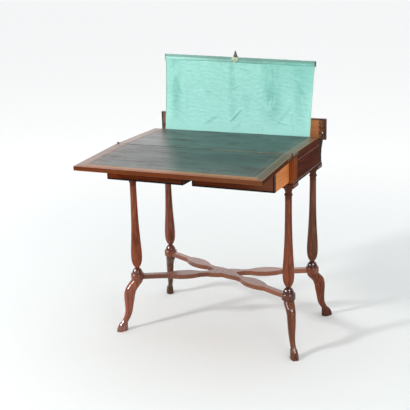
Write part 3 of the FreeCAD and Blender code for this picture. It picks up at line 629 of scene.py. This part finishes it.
# foot: turned wood that darkens down the ankle to a blackened hoof; coats are at the hoof and the ankle
footLook = Look(
    ankle=0.052, hoof=0.022, color=(0.05, 0.022, 0.015), coatRough=0.13, start=0.3, step=0.29,
    share=(0.2, 0.2, 0.5, 0.5), coat=((1, 0.4), (0.55, 0.26), (0.2, 0.2), (0.2, 0.2)),
    coatIor=(1.8, 1.5, 1.5, 1.5),
    shades=((1.35, 1.4, 1.7), (0.75, 0.97, 1.14), (0.62, 1.1, 1.6), (0.82, 0.88, 1)))


def footMaterial(extra, k):
    look, shift = shadedLook("turnedMahogany", extra.shades[k]), extra.step * k
    p = Paint("footWood_%.2f" % shift, coatRough=extra.coatRough, coatIor=extra.coatIor[k],
              shine=look.shine)
    grain = p.grain(look, "z", (0, extra.start, shift))
    down = p.z, extra.ankle, extra.hoof
    p.show("coat", p.fade(*down, *extra.coat[k]))
    color = p.tint(p.fade(*down, extra.share[k]), grain["color"], extra.color)
    return p.finish(color, grain, look)


def dress(material, *names):
    for name in names:
        mesh = cadNodes[name].data
        mesh.materials.clear()
        mesh.materials.append(material)


for k, corner in enumerate(corners):
    dress(columnMaterial(columnLook, k), "leg_column_" + corner)
    dress(footMaterial(footLook, k), "cabriole_foot_" + corner)
    dress(drumMaterial(drumLook, k), "leg_drum_" + corner)
dress(wood("postMahogany", "z"), "corner_post_front_left", "corner_post_front_right")
dress(wood("stileMahogany", "z"), "corner_post_back_left", "corner_post_back_right")
dress(wood("sideMahogany", "y"), "side_panel_left", "side_panel_right")
dress(wood("sideMahogany", "x"), "back_panel")
dress(wood("mahogany", "x"), "front_upper_rail")
dress(wood("mahogany", "z"), "centre_muntin")
dress(mouldMaterial(mouldLook), "base_mouldings")
dress(wood("beadMahogany", "y"), "side_beads")
dress(railMaterial(railLook, "lower"), "stretcher_rail_lower")
dress(railMaterial(railLook, "upper"), "stretcher_rail_upper")
dress(wood("drawerWood", "x"), "bottom_board", "screen_well_wall", "screen_roller")
dress(wood("lathWood", "x"), "screen_rod")
dress(wood("drawerWood", "y"), "centre_partition", "drawer_guides")
dress(drawerFrontMaterial(drawerFrontLook), "left_drawer_front", "right_drawer_front")
sideShift, endShift = (0.2, 0, 0), (0.4, 0, 0)
for side in ("left_drawer_", "right_drawer_"):
    dress(wood("ebonised", "x"), side + "edge_bead")
    dress(wood("drawerWood", "y", sideShift), side + "inner_side", side + "outer_side")
    dress(wood("drawerWood", "x", endShift), side + "back", side + "bottom")
# the left drawer's inner side is dressed in dark wood as painted shade
dress(wood("stileMahogany", "y"), "left_drawer_inner_side")
dress(flapMaterial(flapLook), "rear_flap")
noFront = -9  # a front edge far away: the rear leaf has no border along its front
leafFront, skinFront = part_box("front_leaf")[0].y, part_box("front_leather")[0].y
rearSeam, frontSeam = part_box("rear_leather")[0].y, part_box("front_leather")[1].y
dress(leafMaterial(leafLook, "rearLeafWood", noFront), "rear_leaf")
dress(leafMaterial(leafLook, "frontLeafWood", leafFront), "front_leaf")
dress(leatherMaterial(leatherLook, "rearLeatherSkin", noFront, rearSeam), "rear_leather")
dress(leatherMaterial(leatherLook, "frontLeatherSkin", skinFront, frontSeam), "front_leather")
dress(metal("hingeBrass"), "leaf_hinge_fixed_plates", "leaf_hinge_moving_plates")
dress(metal("agedBrass"), "leaf_hinge_pins", "roller_brackets", "pole_guides")
dress(metal("brass"), "screen_pole")
dress(metal("dullBrass"), "rod_bracket")
dress(metal("iron"), "flap_brackets", "flap_pivot_pins", "flap_screws")
finialTip = (0.005, 0.016)  # how far up the finial its tip begins to blacken, and is black
dress(metal("finialBrass", [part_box("screen_finial")[0].z + rise for rise in finialTip]), "screen_finial")
print("materials on", len(cadNodes), "nodes")


# points or quads out of arrays that hold their parts
def woven(*parts):
    return np.stack(parts, axis=-1)


# meshes from grids of points
def gridQuads(rows, columns, wrap=False, start=0):
    index = np.arange(rows * columns).reshape(rows, columns) + start
    right = np.roll(index, -1, axis=1) if wrap else index[:, 1:]
    left = index if wrap else index[:, :-1]
    return woven(left[:-1], right[:-1], right[1:], left[1:]).reshape(-1, 4)


def meshFrom(name, points, quads, spread=None):
    mesh = bpy.data.meshes.new(name)
    mesh.from_pydata(points.reshape(-1, 3).tolist(), [], quads.tolist())
    if spread is not None:
        corner = np.empty(len(mesh.loops), np.int32)
        mesh.loops.foreach_get("vertex_index", corner)
        layer = mesh.uv_layers.new(name="spread")
        layer.data.foreach_set("uv", spread.reshape(-1, 2)[corner].astype(np.float32).ravel())
    mesh.polygons.foreach_set("use_smooth", np.ones(len(mesh.polygons), bool))
    mesh.update()
    piece = bpy.data.objects.new(name, mesh)
    scene.collection.objects.link(piece)
    return piece


# the quads that join a row of points to the same row of a second sheet
def rimQuads(row, count):
    ahead = np.roll(row, -1)
    return woven(row, row + count, ahead + count, ahead)


# two sheets of points, front and back, closed round their rim
def closedSheet(name, front, back, spread):
    rows, columns = front.shape[:2]
    count = rows * columns
    index = np.arange(count).reshape(rows, columns)
    rim = np.concatenate([index[0, :-1], index[:-1, -1], index[-1, :0:-1], index[:0:-1, 0]])
    behind = gridQuads(rows, columns, start=count)[:, ::-1]
    quads = np.concatenate([gridQuads(rows, columns), behind, rimQuads(rim, count)])
    return meshFrom(name, np.concatenate([front, back]), quads, np.concatenate([spread, spread]))


# how far a value has come along a stretch, from 0 to 1
def ramp(value, start, length):
    return np.clip((value - start) / length, 0, 1)


# screen cloth: hangs from the front of the hem to the roller
clothLook = Look(
    columns=281, rows=181, seed=11, thick=0.0008, tiltDeg=1.7, rodHeight=0.018, hemGap=0.0003, folds=9,
    foldDepth=0.0017, lowDepth=0.0011, slot=(0.715, 0.06), waist=0.0012, flare=0.0028,
    flareFrom=(0.9, 0.1), hang=0.0016, hangFrom=(0.86, 0.14), fullTurn=6.28, crinkle=0.00024,
    crinkles=34, crinkleAcross=130, crinkleUp=(120, 480), crinkleSum=2.6, patchAcross=(8, 40),
    patchUp=(5, 40), swell=0.000225, swells=7, swellAcross=38, swellUp=26, creaseRise=1.5, creaseEnd=0.3,
    shadeRise=0.001, shadeOff=0.7, shadeWidth=0.6)
clothLow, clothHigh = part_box("screen_cloth")
rodLow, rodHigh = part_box("screen_rod")
rodMiddle = (rodLow + rodHigh) / 2
clothPlane = (clothLow.y + clothHigh.y) / 2
clothHalf = -clothLow.x
rodTilt = math.radians(clothLook.tiltDeg)
rodSlope = -math.tan(rodTilt)


def rodUnder(x):
    return rodMiddle.z + rodSlope * (x - rodMiddle.x) - clothLook.rodHeight / 2


# x and z of a place along the tilted rod, at a height above its middle line
def onRod(along, height):
    cos, sin = math.cos(rodTilt), math.sin(rodTilt)
    return rodMiddle.x + along * cos + height * sin, rodMiddle.z - along * sin + height * cos


# creases: a ridge along a short line, fading to its ends; rows are start x, z, end x, z, width and rise
clothCreases = np.array([
    (-0.022, 0.755, 0.035, 0.815, 0.0045, 0.001),
    (0.165, 0.77, 0.215, 0.758, 0.004, 0.0008),
    (0.15, 0.745, 0.235, 0.85, 0.009, 0.0004),
    (-0.01, 0.88, 0.03, 0.9, 0.004, 0.0007),
    (-0.235, 0.93, -0.205, 0.85, 0.008, 0.0007),
    (-0.11, 0.875, -0.085, 0.868, 0.0045, 0.0006),
    (0.02, 0.96, 0.075, 0.952, 0.003, 0.0006),
    (-0.19, 0.95, -0.165, 0.944, 0.004, 0.0006),
    (0.24, 0.93, 0.285, 0.86, 0.01, 0.0007),
    (-0.06, 0.79, -0.13, 0.745, 0.008, 0.0006),
])


def makeCloth(look):
    u, v = np.meshgrid(np.linspace(0, 1, look.columns), np.linspace(0, 1, look.rows))
    # x goes straight from edge to edge, shifted with height, drawn in at the waist, flared under the hem
    flare = look.flare * ramp(v, *look.flareFrom) ** 2
    x = (2 * u - 1) * (clothHalf + flare - look.waist * np.sin(np.pi * v) ** 2) + rodMiddle.x * v
    z = clothLow.z + v * (rodUnder(x) - look.hemGap - clothLow.z)
    # y is a row of soft folds, fuller above the slot, with crinkles and creases, hanging forward on top
    above = ramp(z, *look.slot)
    depth = look.lowDepth + (look.foldDepth - look.lowDepth) * above
    y = -depth * np.sin(look.folds * np.pi * u)
    draw = np.random.default_rng(look.seed)
    crinkle, shaded = np.zeros_like(y), np.zeros_like(y)
    for _ in range(look.crinkles):
        across, upward = draw.normal(0, look.crinkleAcross), draw.uniform(*look.crinkleUp)
        phase, start = draw.uniform(0, look.fullTurn, 2)
        patch = np.sin(draw.uniform(*look.patchAcross) * x + draw.uniform(*look.patchUp) * z + start)
        crinkle += (0.5 + 0.5 * patch) ** 2 * np.sin(across * x + upward * z + phase)
    y += look.crinkle * above * crinkle / look.crinkleSum
    # broad soft swells, leaning either way
    for _ in range(look.swells):
        across, upward = draw.normal(0, look.swellAcross), draw.normal(0, look.swellUp)
        y += look.swell * above * np.sin(across * x + upward * z + draw.uniform(0, look.fullTurn))
    for x0, z0, x1, z1, width, rise in clothCreases:
        way = np.array([x1 - x0, z1 - z0])
        length = np.hypot(*way)
        way = way / length
        t = ((x - x0) * way[0] + (z - z0) * way[1]) / length
        off = (x - x0) * way[1] - (z - z0) * way[0]
        share = ramp(np.minimum(t, 1 - t), 0, look.creaseEnd) * above
        y -= look.creaseRise * rise * share * np.exp(-(off / width) ** 2)
        # each crease is shaded along the side that faces down
        lower = -width if way[0] < 0 else width
        off = (off - look.shadeOff * lower) / (look.shadeWidth * width)
        shaded += rise / look.shadeRise * share * np.exp(-off ** 2)
    y += clothPlane - look.hang * ramp(v, *look.hangFrom) ** 2
    middle = woven(x, y, z)
    half = np.array([0, look.thick / 2, 0])
    piece = closedSheet("screenCloth", middle - half, middle + half, woven(u, v))
    layer = piece.data.attributes.new("crease", "FLOAT", "POINT")
    layer.data.foreach_set("value", np.tile(np.clip(shaded, 0, 1).ravel(), 2).astype(np.float32))
    return piece


# hem: a flat oval sleeve round the rod, tight under the strap and looser towards its ends
hemLook = Look(
    around=48, along=261, half=0.293, loose=0.0009, tight=0.00016, skin=0.00005, power=0.5, strapX=0.009,
    strapHalf=0.011, strapSoft=0.01, ripple=0.35, rippleAlong=190, rippleTwist=2, rippleSwell=61)


def makeHem(look):
    turns = np.linspace(0, 2 * np.pi, look.around, endpoint=False)
    turn, run = np.meshgrid(turns, np.linspace(-1, 1, look.along))
    along = run * look.half
    fromStrap = ramp(np.abs(along + rodMiddle.x - look.strapX), look.strapHalf, look.strapSoft)
    loose = look.tight + (look.loose - look.tight) * fromStrap ** 2 * (3 - 2 * fromStrap)
    # the looseness ripples along the sleeve, in a slow swell
    wave = np.sin(along * look.rippleAlong + look.rippleTwist * np.sin(turn))
    loose = loose * (1 + look.ripple * wave * np.sin(along * look.rippleSwell))
    # the oval is a circle whose cosine and sine are raised to a power below one
    forward, upward = (np.sign(c) * np.abs(c) ** look.power for c in (np.cos(turn), np.sin(turn)))

    def shell(gap):
        x, z = onRod(along, upward * (clothLook.rodHeight / 2 + gap))
        return woven(x, rodMiddle.y + forward * ((rodHigh.y - rodLow.y) / 2 + gap), z)

    rows, columns = along.shape
    count = rows * columns
    index = np.arange(count).reshape(rows, columns)
    outside, inside = gridQuads(rows, columns, True), gridQuads(rows, columns, True, count)[:, ::-1]
    ends = rimQuads(index[0], count), rimQuads(index[-1], count)[:, ::-1]
    quads = np.concatenate([outside, inside, *ends])
    spread = woven(run * 0.5 + 0.5, turn / (2 * np.pi))
    points = np.concatenate([shell(gap) for gap in (loose, look.skin)])
    return meshFrom("hemSleeve", points, quads, np.concatenate([spread, spread]))


# stitches: small flat ovals in a row along the sleeve's lower front edge
stitchLook = Look(
    pitch=0.0034, long=0.0022, wide=0.0005, rise=0.00035, drop=0.0064, margin=0.004, strapClear=0.013,
    gap=0.0001, around=8, rings=5, weld=0.000001)


def makeStitches(look):
    reach = hemLook.half - look.margin
    spots = np.arange(-reach, reach, look.pitch)
    spots = spots[np.abs(spots + rodMiddle.x - hemLook.strapX) > look.strapClear]
    turns = np.linspace(0, 2 * np.pi, look.around, endpoint=False)
    turn, lift = np.meshgrid(turns, np.linspace(-1, 1, look.rings) * np.pi / 2)
    thin = np.cos(lift)
    forward, upward = look.rise * thin * np.cos(turn), look.wide / 2 * thin * np.sin(turn)
    bead = woven(look.long / 2 * np.sin(lift), forward, upward).reshape(-1, 3)
    x, z = onRod(spots, -look.drop)
    front = rodLow.y - hemLook.loose - look.gap
    points = woven(x, np.full_like(spots, front), z)[:, None, :] + bead[None, :, :]
    first = gridQuads(look.rings, look.around, True)
    quads = (first[None] + (np.arange(len(spots)) * len(bead))[:, None, None]).reshape(-1, 4)
    piece = meshFrom("hemStitches", points, quads)
    # the ring of points at each end is welded into one
    work = bmesh.new()
    work.from_mesh(piece.data)
    bmesh.ops.remove_doubles(work, verts=work.verts, dist=look.weld)
    work.to_mesh(piece.data)
    work.free()
    return piece


# shield: a thin domed brass plate in front of the hem, narrowing to a rounded point
shieldLook = Look(
    columns=25, rows=25, half=0.0135, top=0.0086, drop=0.0165, thick=0.0005, dome=0.0005, gap=0.0002,
    hemSwell=1.35, taper=(0.25, 0.75), least=0.012, domeEnds=(0.02, 0.98))


def makeShield(look):
    s, t = np.meshgrid(np.linspace(-1, 1, look.columns), np.linspace(0, 1, look.rows))
    # half width stays full near the top, then closes along a quarter ellipse
    width = look.half * np.sqrt(np.clip(1 - ramp(t, *look.taper) ** 2, look.least, 1))
    x = hemLook.strapX + s * width
    z = rodMiddle.z + rodSlope * (x - rodMiddle.x) + look.top - t * look.drop
    # the dome is a parabola across and a half wave from top to tip
    dome = look.dome * (1 - s ** 2) * np.sin(np.pi * np.clip(t, *look.domeEnds))
    front = rodLow.y - hemLook.loose * look.hemSwell - look.gap
    face = woven(x, front - look.thick - dome, z)
    back = woven(x, np.full_like(x, front), z)
    return closedSheet("hemShield", face[::-1], back[::-1], woven(s * 0.5 + 0.5, t)[::-1])


# dye of the cloth, hem and thread, with some painted light and shade; rows of bands are middle, half width
# and share
dyeAndLightLook = Look(
    color=(0.322, 0.655, 0.582), stain=(0.195, 0.5, 0.43), pale=(0.425, 0.77, 0.695),
    lit=(0.93, 0.72, 0.55, (0.44, 0.85, 0.78)), selvedge=(0.42, 0.6, 0.45), greyEdge=(0.13, 0.19, 0.165),
    hemColor=(0.188, 0.375, 0.312), hemBand=(-0.0005, 0.0025, 0.75, (0.15, 0.27, 0.23)),
    hemEnd=(0.006, 0.002, 0.8, (0.085, 0.1, 0.085)), rough=0.9, sheen=0.06, sheenRough=0.5, shine=0.03,
    threadRise=0.25, bump=(0.55, 0.0014), blot=((26, 1, 15), 5, 0.62, 0.9), blotFade=(0.54, 0.8, 0.55),
    bleach=(0.46, 0.28, 0.45),
    bands=((-0.236, 0.018, 0.75), (0.148, 0.034, 0.9), (-0.004, 0.013, 0.65), (0.258, 0.028, 0.55)),
    ragged=((34, 1, 14), 4, 0.6, 0.6), raggedFade=(0.28, 0.58), bandsUp=(0.73, 0.84),
    streak=((70, 1, 230), 4, 0.6, 1.2), crest=(0.5, 0.72, 0.75), trough=(0.44, 0.26, 0.6),
    thread=((500, 1, 1500), 1, 0.5, 0), farAcross=(0.06, 0.28), farUp=(0.84, 0.97), farShare=0.52,
    creaseShare=0.8, edge=(0.008, 0.003), edgeShare=0.6, greyUp=(0.77, 0.82), hemPale=(0.05, -0.24, 0.8),
    mouthLevel=(-0.007, -0.0086, 0.6))


def clothMaterial(name, look, base, selvedge=0, banded=False):
    p = Paint(name, rough=look.rough, sheen=look.sheen, sheenRough=look.sheenRough, shine=look.shine)
    x, z, across = p.x, p.z, p.axes(p.spot["UV"])["X"]
    # stains in soft clouds, drawn out upwards, and faded upright bands
    kinds = ("blot", "ragged", "streak", "thread")
    blot, ragged, streak, thread = (p.noise(p.place, look[kind]) for kind in kinds)
    bands = 0
    for centre, half, share in look.bands:
        off = p.calc("DIVIDE", p.minus(x, centre), half)
        bell = p.calc("EXPONENT", p.times(p.times(off, off), -1))
        bands = p.timesPlus(bell, share, bands)
    soil = p.times(p.times(bands, p.fade(ragged, *look.raggedFade)), p.fade(z, *look.bandsUp))
    soil = p.calc("MAXIMUM", soil, p.fade(blot, *look.blotFade))
    # crinkle: short streaks, mostly level, with painted light on their crests and painted shade in their
    # troughs
    color = p.tint(p.fade(streak, *look.crest), base, look.pale)
    color = p.tint(p.fade(streak, *look.trough), color, look.stain)
    color = p.tint(p.fade(blot, *look.bleach), color, look.pale)
    color = p.wash(color, z, look.lit)
    farSide = p.times(p.fade(x, *look.farAcross), p.fade(z, *look.farUp))
    color = p.lay(color, farSide, look.farShare, look.stain)
    color = p.tint(soil, color, look.stain)
    shaded = p.put("Attribute", attribute_name="crease").outputs["Fac"]
    color = p.lay(color, shaded, look.creaseShare, look.stain)
    fromEdge = p.calc("MINIMUM", across, p.minus(1, across))
    color = p.tint(p.fade(fromEdge, *look.edge, selvedge), color, look.selvedge)
    greyEdge = p.times(p.fade(across, *look.edge, selvedge), p.fade(z, *look.greyUp))
    color = p.tint(greyEdge, color, look.greyEdge)
    if banded:
        # the rod shows through the top of the sleeve as a greyer band, and its mouth is shaded
        # the sleeve is paler to the left: painted light from the left
        color = p.tint(p.fade(x, *look.hemPale), color, look.pale)
        level = p.minus(z, p.timesPlus(x, rodSlope, rodMiddle.z - rodSlope * rodMiddle.x))
        color = p.wash(color, level, look.hemBand)
        color = p.tint(p.fade(level, *look.mouthLevel), color, look.stain)
        color = p.wash(color, fromEdge, look.hemEnd)
    p.show("color", color)
    p.bump(p.timesPlus(thread, look.threadRise, streak), *look.bump)
    return p.material


cloth = makeCloth(clothLook)
cloth.data.materials.append(clothMaterial("aquaCloth", dyeAndLightLook, dyeAndLightLook.color, dyeAndLightLook.edgeShare))
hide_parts("screen_cloth")
rodUnder(clothHigh.x) - 0.002
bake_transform(cloth)
hem = makeHem(hemLook)
hem.data.materials.append(clothMaterial("hemCloth", dyeAndLightLook, dyeAndLightLook.hemColor, banded=True))
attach(hem, "screen")
stitches = makeStitches(stitchLook)
stitches.data.materials.append(clothMaterial("hemThread", dyeAndLightLook, dyeAndLightLook.stain))
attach(stitches, "screen")
shield = makeShield(shieldLook)
shield.data.materials.append(metal("dullBrass"))
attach(shield, "screen")
print("cloth hung,", len(cloth.data.polygons), "faces")

# plain floor, a little darker under and round the table as painted shade
floorLook = Look(
    half=60, points=3, near=(0.76, 0.788, 0.784), far=(0.5, 3.4, (0.985, 0.985, 0.985)), rough=0.9,
    shine=0.1)


def makeFloor(look):
    side = np.linspace(-look.half, look.half, look.points)
    x, y = np.meshgrid(side, side)
    floor = meshFrom("studioFloor", woven(x, y, np.zeros_like(x)), gridQuads(look.points, look.points))
    p = Paint("floorPaper", rough=look.rough, shine=look.shine)
    away = p.put("VectorMath", {0: p.place}, operation="LENGTH").outputs["Value"]
    p.show("color", p.wash(look.near, away, look.far))
    floor.data.materials.append(p.material)


# soft light from the front left, a weaker one from the right, and two that only make the polish gleam
lampParts = ("place", "aim", "size", "power", "color")
lampRows = {
    "keyLamp": ((-2.6, -3.2, 2.9), (0, 0.1, 0.4), 0.55, 112, (1, 0.993, 0.978)),
    "fillLamp": ((3.1, -3, 2), (0, 0.1, 0.5), 1.8, 44, (0.97, 0.98, 1)),
    "leftGleam": ((-2.15, -1.45, 1.95), (0, 0, 0.2), 1.35, 190, (1, 0.99, 0.97)),
    "rightGleam": ((1.75, -1.25, 2.45), (0, 0, 0.2), 0.95, 80, (1, 0.99, 0.97)),
}


def makeLamp(name, look):
    lamp = bpy.data.lights.new(name, "AREA")
    lamp.shape = "DISK"
    lamp.size = look.size
    lamp.energy = look.power
    lamp.color = look.color
    holder = bpy.data.objects.new(name, lamp)
    holder.location = look.place
    holder.visible_camera = False
    holder.visible_diffuse = not name.endswith("Gleam")
    way = Vector(look.aim) - Vector(look.place)
    holder.rotation_euler = way.to_track_quat("-Z", "Y").to_euler()
    scene.collection.objects.link(holder)


# light from all round, as a soft box would give it
skyLook = Look(
    open=(0.975, 1, 1.005), low=(0.75, 0.35), strength=1.03, right=(0.3, 0.305, 0.31),
    rightAcross=(0.1, 0.6), left=(0.38, 0.385, 0.39), leftAcross=(-0.45, -0.8), behind=(1.5, 1.52, 1.53),
    behindDepth=(0.35, 0.85), behindLow=(0.65, 0.35), softLow=(0.35, 0.354, 0.355),
    softHigh=(0.15, 0.75, (1, 1.01, 1.016)), seen=(0.92, 0.93, 0.93))


def makeSky(look):
    world = bpy.data.worlds.new("studioWorld")
    world.use_nodes = True
    n = Nodes(world.node_tree)
    heading = n.axes(n.put("TexCoord").outputs["Generated"])
    ray = n.put("LightPath").outputs
    # open above and dim low down at both sides
    color, low = look.open, n.fade(heading["Z"], *look.low)
    for side in ("right", "left"):
        color = n.lay(color, n.fade(heading["X"], *look[side + "Across"]), low, look[side])
    # stronger from low down behind the table
    behind = n.times(n.fade(heading["Y"], *look.behindDepth), n.fade(heading["Z"], *look.behindLow))
    color = n.tint(behind, color, look.behind)
    # plain surfaces are lit mostly from above, so that upright ones turn darker to their sides
    soft = n.wash(look.softLow, heading["Z"], look.softHigh)
    color = n.tint(ray["Is Diffuse Ray"], color, soft)
    # past the floor's edge it is seen as plain and pale
    color = n.tint(ray["Is Camera Ray"], color, look.seen)
    background = n.tree.nodes["Background"]
    n.feed(background, "Color", color)
    n.feed(background, "Strength", look.strength)
    scene.world = world


makeFloor(floorLook)
for name, row in lampRows.items():
    makeLamp(name, Look(zip(lampParts, row)))
makeSky(skyLook)
print("floor and lamps placed")
